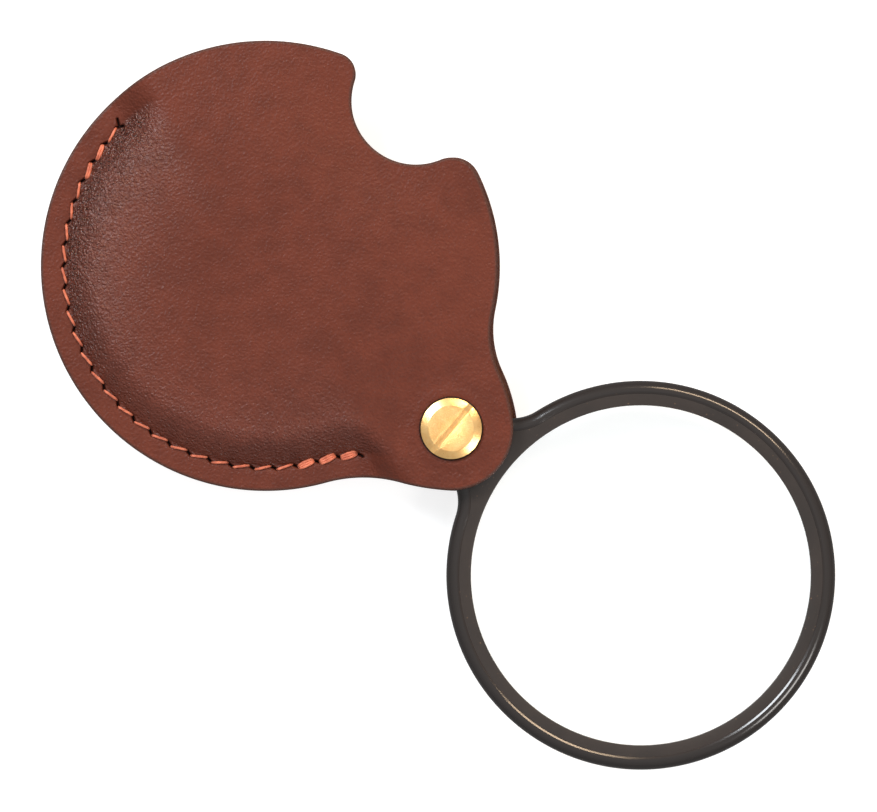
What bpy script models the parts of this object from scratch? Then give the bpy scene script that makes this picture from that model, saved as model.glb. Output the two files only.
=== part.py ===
"""Folding pocket magnifying glass: a round lens that swings out of a stitched leather case.

Metres, +Z up. The Z axis is the pivot axis, and the model lies open on z = 0 with its front panel up.
The case is the same above and below its middle plane, except for the screw slot and the panel edges.
"""

import math

import bmesh
import bpy
from mathutils import Matrix, Vector

COLLECTION = "folding_magnifier"
CUTTERS = "cutters"

# Layers, as heights above the middle plane of the pivot
MIDDLE = 0.0054
LUG_HALF = 0.0021
SLIP_GAP = 0.00005
WASHER = 0.0003
LINING = 0.0003
LEATHER = 0.0014
LAYER_GAP = 0.0001
LINING_GAP = 0.0003
HEAD = 0.0010
LINING_AT_PIVOT = LUG_HALF + 2 * SLIP_GAP + WASHER
LEATHER_AT_PIVOT = LINING_AT_PIVOT + LINING + LAYER_GAP
HEAD_SEAT = LEATHER_AT_PIVOT + LEATHER + LAYER_GAP
LEATHER_AT_CROWN = HEAD_SEAT + HEAD - LEATHER
LEATHER_AT_MOUTH = 0.00295
LEATHER_AT_SEAM = 0.00005

# Case outline, seen from the front: circles joined by tangent fillets
PIVOT = Vector((0.0, 0.0))
CASE_CENTRE = Vector((-0.0273, 0.0239))
CASE_RADIUS = 0.0331
FLANK_CENTRE = Vector((-0.0239, 0.0239))
NOTCH_CENTRE = Vector((-0.0052, 0.0483))
NOTCH_RADIUS = 0.0095
NOTCH_HORN = 0.0030
FLANK_HORN = 0.0040
LOWER_SHOULDER_AT = math.radians(-93.0)
LOWER_SHOULDER = 0.0330
LOWER_WAIST = 0.0208
FLANK_SHOULDER_AT = math.radians(8.0)
FLANK_SHOULDER = 0.0252
FLANK_WAIST = 0.0144
BACK_PANEL = {"ear_centre": Vector((0.00045, 0.0001)), "ear": 0.0093, "flank": 0.0311}
FRONT_PANEL = {"ear_centre": PIVOT, "ear": 0.0091, "flank": 0.0307}

# Dome of the panels
DOME_REACH = 0.022
NOTCH_REACH = 0.014
SEAM_FLANGE = 0.0038
SEAM_RISE = 0.0030
WAIST_UNTIL = math.radians(-58.0)
WAIST_FADE = math.radians(16.0)
PIVOT_FLAT = 0.0070
PIVOT_BLEND = 0.0150
OUTLINE_STEP = 0.0031
FLANGE_ROWS = (0.0, 0.0020)
RISE_ROWS = (0.0, 0.30, 0.65, 1.0)
LAST_ROW = 0.0100
LEATHER_ROWS = (*FLANGE_ROWS, *(SEAM_FLANGE + share * SEAM_RISE for share in RISE_ROWS), LAST_ROW)
INNER_ROWS = (0.25, 0.60, 1.0)
EDGE_ROUND = 0.0003
LINING_INSET = 0.0006
LINING_PAST = math.radians(7.0)
LINING_RETREAT = 2.0

# Seam
SEAM_FROM = math.radians(136.4)
SEAM_TO = math.radians(296.5)
SEAM_PAST = math.radians(1.5)
SEAM_FADE_UPPER = math.radians(14.0)
SEAM_FADE_LOWER = math.radians(8.0)
SEAM_MARGIN = 0.0034
STITCHES = 26
THREAD_RADIUS = 0.0002
SLIT_LENGTH = 0.0011
SLIT_WIDTH = 0.0007
SLIT_LEAN = math.radians(31.0)
SLIT_RUN = 0.0003
THREAD_DIP = 0.00045
THREAD_LIFT = 0.00020

# Pivot screw and barrel nut
HEAD_RADIUS = 0.0045
HEAD_FLAT_RADIUS = 0.00335
HEAD_BEVEL_DROP = 0.00045
SLOT_WIDTH = 0.0008
SLOT_DEPTH = 0.00055
SLOT_ANGLE = math.radians(50.0)
SHANK_RADIUS = 0.0015
SHANK_LENGTH = 0.0055
BARREL_RADIUS = 0.0025
BARREL_BORE = 0.00155
BARREL_BORE_DEPTH = 0.0069
BARREL_TIP_GAP = 0.0002
PIVOT_HOLE = 0.0026
WASHER_RADIUS = 0.0053

# Lens unit: its length runs along +X of its own axes, which are turned to the open angle
OPEN_ANGLE = math.radians(-37.75)
LENS_REACH = 0.0353
FRAME_RADIUS = 0.02864
LUG_RADIUS = 0.0056
NECK_FILLET = 0.0065
FRAME_STEP = 0.0030
FRAME_ROUND = 0.0016
FRAME_ROUND_STEPS = 2
APERTURE_RADIUS = 0.0250
SEAT_RADIUS = 0.02615
SEAT_HEIGHT = 0.0008
LENS_RADIUS = 0.0260
LENS_EDGE = 0.0012
LENS_SAG = 0.0016
LENS_STEPS = 40
LENS_ARCS = 4
RING_INNER = 0.0250
RING_OUTER = 0.02605
RING_TOP = -0.0008
RING_BOTTOM = -0.0020

ROUND_STEPS = 32
CUT_PAST = 0.002

MATERIALS = {
    "brown_leather": ((0.155, 0.051, 0.037), 0.55, 0.0),
    "suede": ((0.090, 0.045, 0.030), 0.95, 0.0),
    "brown_thread": ((0.520, 0.130, 0.075), 0.70, 0.0),
    "brass": ((0.830, 0.560, 0.200), 0.25, 1.0),
    "dark_plastic": ((0.035, 0.030, 0.028), 0.35, 0.0),
    "clear_glass": ((0.950, 0.970, 0.970), 0.02, 0.0),
    "nylon": ((0.700, 0.680, 0.640), 0.50, 0.0),
}


def clear_scene():
    for obj in list(bpy.data.objects):
        bpy.data.objects.remove(obj)


def make_collections():
    found = {}
    for name in (COLLECTION, CUTTERS):
        found[name] = bpy.data.collections.new(name)
        bpy.context.scene.collection.children.link(found[name])
    return found


def make_material(name):
    colour, roughness, metallic = MATERIALS[name]
    material = bpy.data.materials.new(name)
    material.use_nodes = True
    shader = material.node_tree.nodes["Principled BSDF"]
    shader.inputs["Base Color"].default_value = (*colour, 1.0)
    shader.inputs["Roughness"].default_value = roughness
    shader.inputs["Metallic"].default_value = metallic
    return material


def ease(value):
    """0 to 1 with a level start and end."""
    value = min(max(value, 0.0), 1.0)
    return value * value * (3.0 - 2.0 * value)


def swell(value):
    """0 to 1 with a steep start and a level end, as a stuffed edge rises."""
    return math.sin(0.5 * math.pi * min(max(value, 0.0), 1.0))


def mix(low, high, share):
    return low + (high - low) * share


# Outlines ------------------------------------------------------------------------------------------


def polar(radius, angle):
    return Vector((radius * math.cos(angle), radius * math.sin(angle)))


def towards(centre, other, radius):
    return centre + (other - centre).normalized() * radius


def circle_meet(first, first_radius, second, second_radius):
    """The crossing of two circles that lies to the right of the way from first to second."""
    way = second - first
    along = (first_radius**2 - second_radius**2 + way.length_squared) / (2.0 * way.length)
    across = math.sqrt(first_radius**2 - along**2)
    ahead = way.normalized()
    return first + along * ahead + across * Vector((ahead.y, -ahead.x))


def arc(centre, radius, start, end, turn, step):
    """Points from start towards end, without end; turn is 1 anticlockwise and -1 clockwise."""
    first = math.atan2(start.y - centre.y, start.x - centre.x)
    last = math.atan2(end.y - centre.y, end.x - centre.x)
    sweep = turn * ((turn * (last - first)) % (2.0 * math.pi))
    count = max(2, math.ceil(abs(sweep) * radius / step), math.ceil(abs(sweep) / math.radians(25.0)))
    return [centre + polar(radius, first + sweep * i / count) for i in range(count)]


def chain(turns, step):
    """Points of a closed chain of tangent arcs, each given as centre, radius, start and turn."""
    points = []
    for i, (centre, radius, start, turn) in enumerate(turns):
        points += arc(centre, radius, start, turns[(i + 1) % len(turns)][2], turn, step)
    return points


def lower_waist_centre(ear_centre, ear):
    lower = ear_centre + polar(ear - LOWER_SHOULDER, LOWER_SHOULDER_AT)
    return circle_meet(CASE_CENTRE, CASE_RADIUS + LOWER_WAIST, lower, LOWER_SHOULDER + LOWER_WAIST)


def case_outline(ear_centre, ear, flank, step):
    """One panel's outline, anticlockwise from the top of the notch: rim, lower waist, ear, flank, notch."""
    lower = ear_centre + polar(ear - LOWER_SHOULDER, LOWER_SHOULDER_AT)
    upper = ear_centre + polar(ear - FLANK_SHOULDER, FLANK_SHOULDER_AT)
    lower_waist = lower_waist_centre(ear_centre, ear)
    flank_waist = circle_meet(upper, FLANK_SHOULDER + FLANK_WAIST, FLANK_CENTRE, flank + FLANK_WAIST)
    flank_horn = circle_meet(FLANK_CENTRE, flank - FLANK_HORN, NOTCH_CENTRE, NOTCH_RADIUS + FLANK_HORN)
    notch_horn = circle_meet(NOTCH_CENTRE, NOTCH_RADIUS + NOTCH_HORN, CASE_CENTRE, CASE_RADIUS - NOTCH_HORN)
    turns = (
        (CASE_CENTRE, CASE_RADIUS, towards(CASE_CENTRE, notch_horn, CASE_RADIUS), 1),
        (lower_waist, LOWER_WAIST, towards(CASE_CENTRE, lower_waist, CASE_RADIUS), -1),
        (lower, LOWER_SHOULDER, towards(lower, lower_waist, LOWER_SHOULDER), 1),
        (ear_centre, ear, ear_centre + polar(ear, LOWER_SHOULDER_AT), 1),
        (upper, FLANK_SHOULDER, ear_centre + polar(ear, FLANK_SHOULDER_AT), 1),
        (flank_waist, FLANK_WAIST, towards(upper, flank_waist, FLANK_SHOULDER), -1),
        (FLANK_CENTRE, flank, towards(FLANK_CENTRE, flank_waist, flank), 1),
        (flank_horn, FLANK_HORN, towards(FLANK_CENTRE, flank_horn, flank), 1),
        (NOTCH_CENTRE, NOTCH_RADIUS, towards(NOTCH_CENTRE, flank_horn, NOTCH_RADIUS), -1),
        (notch_horn, NOTCH_HORN, towards(NOTCH_CENTRE, notch_horn, NOTCH_RADIUS), 1),
    )
    return chain(turns, step)


def frame_outline():
    """Outline of the lens frame, anticlockwise: ring, neck fillet, lug and neck fillet."""
    ring = Vector((LENS_REACH, 0.0))
    upper = circle_meet(ring, FRAME_RADIUS + NECK_FILLET, PIVOT, LUG_RADIUS + NECK_FILLET)
    lower = Vector((upper.x, -upper.y))
    turns = (
        (ring, FRAME_RADIUS, towards(ring, lower, FRAME_RADIUS), 1),
        (upper, NECK_FILLET, towards(ring, upper, FRAME_RADIUS), -1),
        (PIVOT, LUG_RADIUS, towards(PIVOT, upper, LUG_RADIUS), 1),
        (lower, NECK_FILLET, towards(PIVOT, lower, LUG_RADIUS), -1),
    )
    return chain(turns, FRAME_STEP)


# Dome and seam -------------------------------------------------------------------------------------


def seam_weight(point, past=SEAM_PAST):
    """1 along the seam and past its ends, 0 along the free edges, with a short fade between."""
    angle = math.atan2(point.y - CASE_CENTRE.y, point.x - CASE_CENTRE.x) % (2.0 * math.pi)
    upper = ease((angle - SEAM_FROM + past + SEAM_FADE_UPPER) / SEAM_FADE_UPPER)
    lower = ease((SEAM_TO + past + SEAM_FADE_LOWER - angle) / SEAM_FADE_LOWER)
    return upper * lower


def depth_inside(point):
    """Distance in from the round of the outline, and along the lower waist from the waist's own arc."""
    waist = lower_waist_centre(FRONT_PANEL["ear_centre"], FRONT_PANEL["ear"])
    depth = CASE_RADIUS - (point - CASE_CENTRE).length
    from_waist = (point - waist).length - LOWER_WAIST
    angle = math.atan2(point.y - CASE_CENTRE.y, point.x - CASE_CENTRE.x)
    past_round = math.atan2(waist.y - CASE_CENTRE.y, waist.x - CASE_CENTRE.x)
    if not past_round < angle < WAIST_UNTIL + WAIST_FADE:
        return depth
    return mix(from_waist, depth, ease((angle - WAIST_UNTIL) / WAIST_FADE))


def leather_height(point):
    """Height of a panel's inner face over the middle plane."""
    depth = depth_inside(point)
    past_notch = (point - NOTCH_CENTRE).length - NOTCH_RADIUS
    dome = swell(depth / DOME_REACH) * swell(past_notch / NOTCH_REACH)
    height = mix(LEATHER_AT_MOUTH, LEATHER_AT_CROWN, dome)
    pressed = mix(LEATHER_AT_SEAM, height, ease((depth - SEAM_FLANGE) / SEAM_RISE))
    height = mix(height, pressed, seam_weight(point))
    return mix(height, LEATHER_AT_PIVOT, near_pivot(point))


def near_pivot(point):
    """1 where the panels lie flat under the screw heads, 0 past the ear."""
    return 1.0 - ease((point.length - PIVOT_FLAT) / (PIVOT_BLEND - PIVOT_FLAT))


def lining_height(point):
    gap = mix(LINING_GAP, LAYER_GAP, near_pivot(point))
    return leather_height(point) - gap - LINING


def seam_line():
    """Points and leftward directions of the needle holes, equally spaced from the seam's upper end."""
    outline = case_outline(**FRONT_PANEL, step=OUTLINE_STEP / 8.0)
    line = []
    for i, point in enumerate(outline):
        way = (outline[(i + 1) % len(outline)] - point).normalized()
        inside = point + SEAM_MARGIN * Vector((-way.y, way.x))
        angle = math.atan2(inside.y - CASE_CENTRE.y, inside.x - CASE_CENTRE.x) % (2.0 * math.pi)
        if SEAM_FROM <= angle <= SEAM_TO:
            line.append(inside)
    lengths = [0.0]
    for before, after in zip(line, line[1:]):
        lengths.append(lengths[-1] + (after - before).length)
    holes = []
    step = 0
    for i in range(STITCHES + 1):
        target = lengths[-1] * i / STITCHES
        while step < len(lengths) - 2 and lengths[step + 1] < target:
            step += 1
        share = (target - lengths[step]) / (lengths[step + 1] - lengths[step])
        way = (line[step + 1] - line[step]).normalized()
        holes.append((line[step].lerp(line[step + 1], share), way))
    return holes


# Building blocks -----------------------------------------------------------------------------------


def link(name, data, collection, material=None):
    obj = bpy.data.objects.new(name, data)
    collection.objects.link(obj)
    if material:
        data.materials.append(material)
    return obj


def as_cutter(obj):
    obj.hide_render = True
    obj.display_type = "WIRE"
    return obj


def cut(obj, cutter):
    modifier = obj.modifiers.new("cut_" + cutter.name, "BOOLEAN")
    modifier.operation = "DIFFERENCE"
    modifier.solver = "EXACT"
    modifier.object = cutter


def turned(name, profile, collection, material=None, steps=ROUND_STEPS, closed=False):
    """A profile of (radius, height), which runs out, down and back in, turned about Z."""
    mesh = bpy.data.meshes.new(name)
    edges = [(i, i + 1) for i in range(len(profile) - 1)]
    if closed:
        edges.append((len(profile) - 1, 0))
    mesh.from_pydata([(radius, 0.0, height) for radius, height in profile], edges, [])
    obj = link(name, mesh, collection, material)
    screw = obj.modifiers.new("turn", "SCREW")
    screw.steps = steps
    screw.render_steps = steps
    screw.use_merge_vertices = True
    screw.merge_threshold = 0.00001
    return obj


def box_cutter(name, boxes, collection):
    """One cutter made of boxes, each given as its place, its size and its turn about Z."""
    bm = bmesh.new()
    for place, size, turn in boxes:
        matrix = Matrix.Translation(place) @ Matrix.Rotation(turn, 4, "Z") @ Matrix.Diagonal((*size, 1.0))
        bmesh.ops.create_cube(bm, size=1.0, matrix=matrix)
    mesh = bpy.data.meshes.new(name)
    bm.to_mesh(mesh)
    bm.free()
    return as_cutter(link(name, mesh, collection))


def round_cutter(name, radius, height, collection):
    bm = bmesh.new()
    bmesh.ops.create_cone(
        bm, cap_ends=True, segments=ROUND_STEPS, radius1=radius, radius2=radius, depth=height
    )
    mesh = bpy.data.meshes.new(name)
    bm.to_mesh(mesh)
    bm.free()
    return as_cutter(link(name, mesh, collection))


def domed_sheet(name, outline, spoke_rows, height_of, side, collection, material):
    """A grid with a spoke from each outline point to the case's centre, lifted to a dome."""
    count = len(outline)
    depths = len(spoke_rows[0]) + len(INNER_ROWS)
    bm = bmesh.new()
    bmesh.ops.create_grid(bm, x_segments=count, y_segments=depths - 1, size=1.0)
    for vert in bm.verts:
        spoke = round((vert.co.x + 1.0) * 0.5 * count) % count
        row = round((vert.co.y + 1.0) * 0.5 * (depths - 1))
        rows = spoke_rows[spoke]
        edge = outline[spoke]
        point = edge + (CASE_CENTRE - edge).normalized() * rows[min(row, len(rows) - 1)]
        if row >= len(rows):
            point = point.lerp(CASE_CENTRE, INNER_ROWS[row - len(rows)])
        vert.co = (point.x, point.y, side * height_of(point))
    bmesh.ops.remove_doubles(bm, verts=bm.verts, dist=0.000001)
    bmesh.ops.recalc_face_normals(bm, faces=bm.faces)
    if sum(face.normal.z for face in bm.faces) * side < 0.0:
        bmesh.ops.reverse_faces(bm, faces=bm.faces)
    mesh = bpy.data.meshes.new(name)
    bm.to_mesh(mesh)
    bm.free()
    mesh.shade_smooth()
    obj = link(name, mesh, collection, material)
    obj.location.z = MIDDLE
    return obj


def thicken(obj, thickness):
    solidify = obj.modifiers.new("thickness", "SOLIDIFY")
    solidify.thickness = thickness
    solidify.offset = 1.0
    solidify.use_even_offset = True


def round_edges(obj, width, segments):
    bevel = obj.modifiers.new("rounded_edges", "BEVEL")
    bevel.width = width
    bevel.segments = segments
    bevel.limit_method = "ANGLE"
    bevel.angle_limit = math.radians(60.0)


# Case ----------------------------------------------------------------------------------------------


def seam_slits(collection):
    """Slanted awl slits through both panels, one at each needle hole."""
    boxes = []
    for point, way in seam_line():
        lean = math.atan2(way.y, way.x) - SLIT_LEAN
        size = (SLIT_LENGTH, SLIT_WIDTH, 2.0 * (HEAD_SEAT + CUT_PAST))
        boxes.append(((point.x, point.y, MIDDLE), size, lean))
    return box_cutter("seam_slits", boxes, collection)


def make_panel(name, shape, side, collection, material, cutters):
    outline = case_outline(**shape, step=OUTLINE_STEP)
    rows = [LEATHER_ROWS] * len(outline)
    panel = domed_sheet(name, outline, rows, leather_height, side, collection, material)
    thicken(panel, LEATHER)
    round_edges(panel, EDGE_ROUND, 1)
    for cutter in cutters:
        cut(panel, cutter)


def lining_rows(point):
    """The lining stops short of the free edges, and well short of the seam."""
    first = mix(LINING_INSET, LAST_ROW, min(LINING_RETREAT * seam_weight(point, LINING_PAST), 1.0))
    return (first, mix(first, LAST_ROW, 0.5), LAST_ROW)


def make_lining(name, shape, side, collection, material, hole):
    outline = case_outline(**shape, step=OUTLINE_STEP)
    rows = [lining_rows(point) for point in outline]
    lining = domed_sheet(name, outline, rows, lining_height, side, collection, material)
    thicken(lining, LINING)
    cut(lining, hole)


def thread_route(side):
    """Down into each slit at its near end and up at its far end, then along the leather to the next."""
    top = LEATHER_AT_SEAM + LEATHER + THREAD_RADIUS + THREAD_LIFT
    route = []
    for point, way in seam_line():
        slant = Matrix.Rotation(-SLIT_LEAN, 2) @ way
        dip = ((-SLIT_RUN, top), (-SLIT_RUN, THREAD_DIP), (SLIT_RUN, THREAD_DIP), (SLIT_RUN, top))
        for along, height in dip:
            place = point + along * slant
            route.append(Vector((place.x, place.y, MIDDLE + side * height)))
    return route[1:-1]


def make_thread(name, side, collection, material):
    curve = bpy.data.curves.new(name, "CURVE")
    curve.dimensions = "3D"
    curve.bevel_depth = THREAD_RADIUS
    curve.bevel_resolution = 1
    curve.use_fill_caps = True
    route = thread_route(side)
    spline = curve.splines.new("POLY")
    spline.points.add(len(route) - 1)
    for point, place in zip(spline.points, route):
        point.co = (*place, 1.0)
    link(name, curve, collection, material)


def make_screw(collection, cutters, material):
    rim = HEAD - HEAD_BEVEL_DROP
    profile = (
        (0.0, HEAD),
        (HEAD_FLAT_RADIUS, HEAD),
        (HEAD_RADIUS, rim),
        (HEAD_RADIUS, 0.0),
        (SHANK_RADIUS, 0.0),
        (SHANK_RADIUS, -SHANK_LENGTH),
        (0.0, -SHANK_LENGTH),
    )
    screw = turned("pivot_screw", profile, collection, material)
    screw.location.z = MIDDLE + HEAD_SEAT
    top = MIDDLE + HEAD_SEAT + HEAD
    slot = ((0.0, 0.0, top), (2.0 * HEAD_RADIUS + CUT_PAST, SLOT_WIDTH, 2.0 * SLOT_DEPTH), SLOT_ANGLE)
    cut(screw, box_cutter("screw_slot", [slot], cutters))


def make_post(collection, material):
    tip = 2.0 * HEAD_SEAT - BARREL_TIP_GAP
    rim = HEAD_BEVEL_DROP - HEAD
    profile = (
        (0.0, tip - BARREL_BORE_DEPTH),
        (BARREL_BORE, tip - BARREL_BORE_DEPTH),
        (BARREL_BORE, tip),
        (BARREL_RADIUS, tip),
        (BARREL_RADIUS, 0.0),
        (HEAD_RADIUS, 0.0),
        (HEAD_RADIUS, rim),
        (HEAD_FLAT_RADIUS, -HEAD),
        (0.0, -HEAD),
    )
    post = turned("pivot_post", profile, collection, material)
    post.location.z = MIDDLE - HEAD_SEAT


def make_washer(name, side, collection, material):
    half = 0.5 * WASHER
    profile = ((WASHER_RADIUS, half), (WASHER_RADIUS, -half), (PIVOT_HOLE, -half), (PIVOT_HOLE, half))
    washer = turned(name, profile, collection, material, closed=True)
    washer.location.z = MIDDLE + side * (LUG_HALF + SLIP_GAP + half)


def make_case(parts, cutters, materials):
    hole = round_cutter("pivot_hole", PIVOT_HOLE, 4.0 * MIDDLE, cutters)
    slits = seam_slits(cutters)
    leather = materials["brown_leather"]
    for word, shape, side in (("front", FRONT_PANEL, 1), ("back", BACK_PANEL, -1)):
        make_panel(f"case_{word}_leather", shape, side, parts, leather, (hole, slits))
        make_lining(f"case_{word}_lining", shape, side, parts, materials["suede"], hole)
        make_washer(f"{word}_washer", side, parts, materials["nylon"])
    make_thread("needle_thread", 1, parts, materials["brown_thread"])
    make_thread("bobbin_thread", -1, parts, materials["brown_thread"])
    make_screw(parts, cutters, materials["brass"])
    make_post(parts, materials["brass"])


# Lens unit -----------------------------------------------------------------------------------------


def extruded(name, outline, half_height, collection, material):
    """A closed outline filled and thickened as a 2D curve, then made a welded mesh."""
    curve = bpy.data.curves.new(name, "CURVE")
    curve.dimensions = "2D"
    curve.fill_mode = "BOTH"
    curve.extrude = half_height
    spline = curve.splines.new("POLY")
    spline.points.add(len(outline) - 1)
    for point, place in zip(spline.points, outline):
        point.co = (place.x, place.y, 0.0, 1.0)
    spline.use_cyclic_u = True
    drawn = bpy.data.objects.new(name + "_curve", curve)
    collection.objects.link(drawn)
    graph = bpy.context.evaluated_depsgraph_get()
    mesh = bpy.data.meshes.new_from_object(drawn.evaluated_get(graph))
    mesh.name = name
    bpy.data.objects.remove(drawn)
    bm = bmesh.new()
    bm.from_mesh(mesh)
    bmesh.ops.remove_doubles(bm, verts=bm.verts, dist=0.000001)
    bmesh.ops.recalc_face_normals(bm, faces=bm.faces)
    bm.to_mesh(mesh)
    bm.free()
    mesh.materials.clear()
    return link(name, mesh, collection, material)


def make_frame(collection, cutters, material, axis):
    """One moulding: lug, neck and ring, with a stepped lens seat that opens to the back."""
    frame = extruded("lens_frame", frame_outline(), LUG_HALF, collection, material)
    frame.parent = axis
    round_edges(frame, FRAME_ROUND, FRAME_ROUND_STEPS)
    past = LUG_HALF + CUT_PAST
    seat = (
        (0.0, past),
        (APERTURE_RADIUS, past),
        (APERTURE_RADIUS, SEAT_HEIGHT),
        (SEAT_RADIUS, SEAT_HEIGHT),
        (SEAT_RADIUS, -past),
        (0.0, -past),
    )
    lens_seat = as_cutter(turned("lens_seat", seat, cutters, steps=LENS_STEPS))
    lens_seat.parent = axis
    lens_seat.location.x = LENS_REACH
    lug_bore = round_cutter("lug_bore", PIVOT_HOLE, 2.0 * past, cutters)
    lug_bore.parent = axis
    cut(frame, lens_seat)
    cut(frame, lug_bore)


def make_lens(collection, material, axis):
    """Equal-sided biconvex glass with a plain ground edge."""
    sphere = (LENS_RADIUS**2 + LENS_SAG**2) / (2.0 * LENS_SAG)
    half_edge = 0.5 * LENS_EDGE
    face = []
    for i in range(LENS_ARCS + 1):
        radius = LENS_RADIUS * i / LENS_ARCS
        face.append((radius, half_edge + LENS_SAG - sphere + math.sqrt(sphere**2 - radius**2)))
    profile = face + [(radius, -height) for radius, height in reversed(face)]
    lens = turned("lens", profile, collection, material, steps=LENS_STEPS)
    lens.parent = axis
    lens.location.x = LENS_REACH


def make_ring(collection, material, axis):
    profile = (
        (RING_OUTER, RING_TOP),
        (RING_OUTER, RING_BOTTOM),
        (RING_INNER, RING_BOTTOM),
        (RING_INNER, RING_TOP),
    )
    ring = turned("lens_retaining_ring", profile, collection, material, LENS_STEPS, closed=True)
    ring.parent = axis
    ring.location.x = LENS_REACH


def make_lens_unit(parts, cutters, materials):
    axis = bpy.data.objects.new("lens_swing_axis", None)
    parts.objects.link(axis)
    axis.location.z = MIDDLE
    axis.rotation_euler.z = OPEN_ANGLE
    make_frame(parts, cutters, materials["dark_plastic"], axis)
    make_lens(parts, materials["clear_glass"], axis)
    make_ring(parts, materials["dark_plastic"], axis)


def main():
    clear_scene()
    collections = make_collections()
    materials = {name: make_material(name) for name in MATERIALS}
    make_case(collections[COLLECTION], collections[CUTTERS], materials)
    make_lens_unit(collections[COLLECTION], collections[CUTTERS], materials)


main()
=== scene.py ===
"""Looks of the folding pocket magnifying glass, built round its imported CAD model. Metres, +Z up."""

import math

import bmesh
import bpy
import numpy as np
from mathutils import Matrix, Vector, noise
from mathutils.geometry import delaunay_2d_cdt


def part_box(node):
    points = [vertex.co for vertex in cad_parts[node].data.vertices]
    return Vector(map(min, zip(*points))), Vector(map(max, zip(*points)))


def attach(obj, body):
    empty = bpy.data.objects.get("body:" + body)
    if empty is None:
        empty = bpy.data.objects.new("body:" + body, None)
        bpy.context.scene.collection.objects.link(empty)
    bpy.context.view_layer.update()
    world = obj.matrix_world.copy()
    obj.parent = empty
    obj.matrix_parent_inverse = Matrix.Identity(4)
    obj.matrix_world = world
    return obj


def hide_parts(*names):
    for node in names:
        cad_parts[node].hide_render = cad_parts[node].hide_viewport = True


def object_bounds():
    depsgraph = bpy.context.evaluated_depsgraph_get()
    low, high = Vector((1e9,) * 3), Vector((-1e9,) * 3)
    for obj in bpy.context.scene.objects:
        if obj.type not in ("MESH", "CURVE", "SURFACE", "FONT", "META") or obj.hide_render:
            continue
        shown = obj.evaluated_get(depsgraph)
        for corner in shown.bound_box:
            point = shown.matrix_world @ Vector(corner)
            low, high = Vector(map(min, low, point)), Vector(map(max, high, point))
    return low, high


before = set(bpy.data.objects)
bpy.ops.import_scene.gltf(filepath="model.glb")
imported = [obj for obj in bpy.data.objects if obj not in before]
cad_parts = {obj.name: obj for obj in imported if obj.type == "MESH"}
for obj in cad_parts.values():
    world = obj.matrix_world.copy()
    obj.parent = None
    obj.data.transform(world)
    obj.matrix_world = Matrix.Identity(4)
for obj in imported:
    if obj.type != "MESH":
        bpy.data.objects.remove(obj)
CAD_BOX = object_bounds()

# From the CAD model
LENS_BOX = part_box("lens")
FRAME_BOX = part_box("lens_frame")
MIDDLE = 0.5 * (FRAME_BOX[0].z + FRAME_BOX[1].z)
LUG_HALF = 0.5 * (FRAME_BOX[1].z - FRAME_BOX[0].z)
LENS_CENTRE = 0.5 * (LENS_BOX[0] + LENS_BOX[1])
LENS_RADIUS = 0.5 * (LENS_BOX[1].x - LENS_BOX[0].x)
LENS_HALF = 0.5 * (LENS_BOX[1].z - LENS_BOX[0].z)
PIVOT = np.zeros(2)
OPEN_ANGLE = math.atan2(LENS_CENTRE.y, LENS_CENTRE.x)
RING_CENTRE = np.array((math.hypot(LENS_CENTRE.x, LENS_CENTRE.y), 0.0))

# Layers, as heights above the middle plane of the pivot
SLIP_GAP = 0.00005
WASHER = 0.0003
LINING = 0.0003
LEATHER = 0.0014
LAYER_GAP = 0.0001
LINING_GAP = 0.0003
HEAD = 0.0010
LINING_AT_PIVOT = LUG_HALF + 2 * SLIP_GAP + WASHER
LEATHER_AT_PIVOT = LINING_AT_PIVOT + LINING + LAYER_GAP
HEAD_SEAT = LEATHER_AT_PIVOT + LEATHER + LAYER_GAP
LEATHER_AT_CROWN = HEAD_SEAT + HEAD - LEATHER
LEATHER_AT_MOUTH = 0.00295
LEATHER_AT_SEAM = 0.00005

# Case outline, seen from the front: circles joined by tangent fillets
CASE_CENTRE = np.array((-0.0273, 0.0239))
CASE_RADIUS = 0.0331
FLANK_CENTRE = np.array((-0.0239, 0.0239))
NOTCH_CENTRE = np.array((-0.0052, 0.0483))
NOTCH_RADIUS = 0.0095
NOTCH_HORN = 0.0030
FLANK_HORN = 0.0040
LOWER_SHOULDER_AT = math.radians(-93.0)
LOWER_SHOULDER = 0.0330
LOWER_WAIST = 0.0208
FLANK_SHOULDER_AT = math.radians(8.0)
FLANK_SHOULDER = 0.0252
FLANK_WAIST = 0.0144
FRONT_PANEL = {"ear_centre": PIVOT, "ear": 0.0091, "flank": 0.0307}
BACK_PANEL = {"ear_centre": np.array((0.00045, 0.0001)), "ear": 0.0093, "flank": 0.0311}

# Dome of the panels
DOME_REACH = 0.022
NOTCH_REACH = 0.014
SEAM_FLANGE = 0.0038
INNER_RISE = 0.0030
OUTER_RISE = 0.0048
WAIST_UNTIL = math.radians(-58.0)
WAIST_FADE = math.radians(16.0)
PIVOT_FLAT = 0.0070
PIVOT_BLEND = 0.0150
SEAM_FROM = math.radians(136.4)
SEAM_TO = math.radians(296.5)
SEAM_PAST = math.radians(1.5)
SEAM_FADE_UPPER = math.radians(14.0)
SEAM_FADE_LOWER = math.radians(8.0)

# Leather mesh
OUTLINE_STEP = 0.00005
SPOKES = 1280
SEAM_DENSITY = 2.5
SEAM_ROOM = math.radians(6.0)
NORMAL_INSET = 0.0006
OUTER_ROUND = 0.00035
INNER_ROUND = 0.00015
ROUND_STEPS = 4

# Seam
SEAM_MARGIN = 0.0034
STITCHES = 26
SLIT_LEAN = math.radians(31.0)
SLIT_RUN = 0.00055
THREAD_RADIUS = 0.0002

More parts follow.
